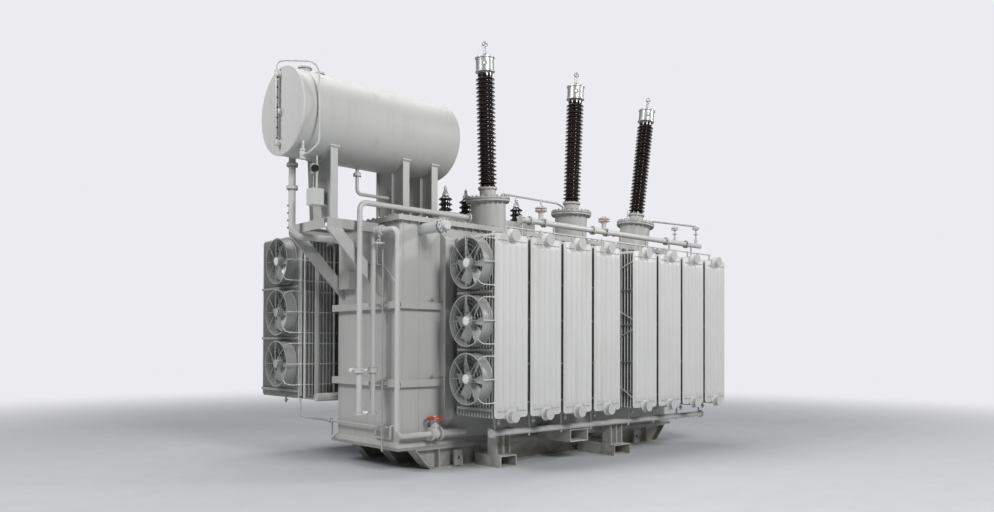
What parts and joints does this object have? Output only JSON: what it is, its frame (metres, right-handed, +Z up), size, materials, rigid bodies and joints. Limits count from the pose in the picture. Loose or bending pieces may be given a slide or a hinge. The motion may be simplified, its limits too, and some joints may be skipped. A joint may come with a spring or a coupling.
{
  "type": "power transformer",
  "caption": "Oil-filled power transformer with radiator banks, end fans, a cylindrical conservator on brackets, tall shedded bushings, oil pipework and a skid base.",
  "frame": {"origin": "centre of the tank in plan, on the ground under the skid", "axes": "+X along the tank away from the conservator end, +Y towards the deeper radiator bank, +Z up"},
  "size_m": [6.594, 3.65, 5.4833],
  "materials": {
    "grey_enamel": "light grey semi-gloss enamel",
    "radiator_enamel": "light grey enamel on pressed steel",
    "brown_porcelain": "dark brown glaze",
    "silver_metal": "bare cast aluminium",
    "red_paint": "red gloss paint",
    "fan_metal": "brushed sheet blades",
    "valve_paint": "grey paint on cast iron"
  },
  "bodies": {
    "root": {"base_plate": "grey_enamel", "bleed_pipe": "grey_enamel", "bottom_pipe": "grey_enamel", "bracket_seat": "grey_enamel", "bracket_struts": "grey_enamel", "brackets": "grey_enamel", "breather": "grey_enamel", "breather_riser": "grey_enamel", "conservator_far_end": "grey_enamel", "conservator_near_end": "grey_enamel", "conservator_pedestals": "grey_enamel", "conservator_pipes": "grey_enamel", "conservator_shell": "grey_enamel", "end_wall_pipe": "grey_enamel", "gas_pipe": "grey_enamel", "gate_valve": "valve_paint", "gussets_and_lugs": "grey_enamel", "hv_caps": "silver_metal", "hv_porcelains": "brown_porcelain", "hv_turrets": "grey_enamel", "jacking_beams": "grey_enamel", "left_fan_shrouds": "grey_enamel", "left_headers": "grey_enamel", "left_radiator_faces": "radiator_enamel", "left_radiator_panels": "radiator_enamel", "level_gauge": "grey_enamel", "lv_bushings": "brown_porcelain", "lv_pocket": "grey_enamel", "lv_terminals": "silver_metal", "oil_pipe": "grey_enamel", "outriggers": "grey_enamel", "pipe_clamps": "grey_enamel", "radiator_ties": "grey_enamel", "right_fan_shrouds": "grey_enamel", "right_headers": "grey_enamel", "right_radiator_faces": "radiator_enamel", "right_radiator_panels": "radiator_enamel", "side_stub": "valve_paint", "skid_beams": "grey_enamel", "skid_cross_members": "grey_enamel", "tank": "grey_enamel", "tank_bands": "grey_enamel", "tank_cover": "grey_enamel", "tank_fittings": "grey_enamel", "tank_rim": "grey_enamel", "tank_stiffeners": "grey_enamel", "thin_pipes": "grey_enamel", "turret_vents": "grey_enamel", "vent_pipe": "grey_enamel"},
    "left_fan_rotor_bottom": {"left_fan_rotor_bottom": "fan_metal"},
    "left_fan_rotor_middle": {"left_fan_rotor_middle": "fan_metal"},
    "left_fan_rotor_top": {"left_fan_rotor_top": "fan_metal"},
    "right_fan_rotor_bottom": {"right_fan_rotor_bottom": "fan_metal"},
    "right_fan_rotor_middle": {"right_fan_rotor_middle": "fan_metal"},
    "right_fan_rotor_top": {"right_fan_rotor_top": "fan_metal"},
    "red_handwheel": {"red_handwheel": "red_paint"},
    "small_handwheel": {"small_handwheel": "valve_paint"}
  },
  "joints": [
    {"name": "right_fan_spin_bottom", "type": "hinge", "parent": "root", "child": "right_fan_rotor_bottom", "pos_m": [-2.0343, -1.29, 1.09], "axis": [1, 0, 0], "continuous": true},
    {"name": "right_fan_spin_middle", "type": "hinge", "parent": "root", "child": "right_fan_rotor_middle", "pos_m": [-2.0343, -1.29, 1.755], "axis": [1, 0, 0], "continuous": true},
    {"name": "right_fan_spin_top", "type": "hinge", "parent": "root", "child": "right_fan_rotor_top", "pos_m": [-2.0343, -1.29, 2.42], "axis": [1, 0, 0], "continuous": true},
    {"name": "left_fan_spin_bottom", "type": "hinge", "parent": "root", "child": "left_fan_rotor_bottom", "pos_m": [-3.0943, 1.27, 1.23], "axis": [1, 0, 0], "continuous": true},
    {"name": "left_fan_spin_middle", "type": "hinge", "parent": "root", "child": "left_fan_rotor_middle", "pos_m": [-3.0943, 1.27, 1.895], "axis": [1, 0, 0], "continuous": true},
    {"name": "left_fan_spin_top", "type": "hinge", "parent": "root", "child": "left_fan_rotor_top", "pos_m": [-3.0943, 1.27, 2.56], "axis": [1, 0, 0], "continuous": true},
    {"name": "handwheel_turn", "type": "hinge", "parent": "root", "child": "red_handwheel", "pos_m": [-2.157, -0.795, 0.616], "axis": [0, 0, 1], "continuous": true},
    {"name": "small_handwheel_turn", "type": "hinge", "parent": "root", "child": "small_handwheel", "pos_m": [-2.7561, -0.50665, 2.66], "axis": [0, 0, 1], "continuous": true}
  ]
}
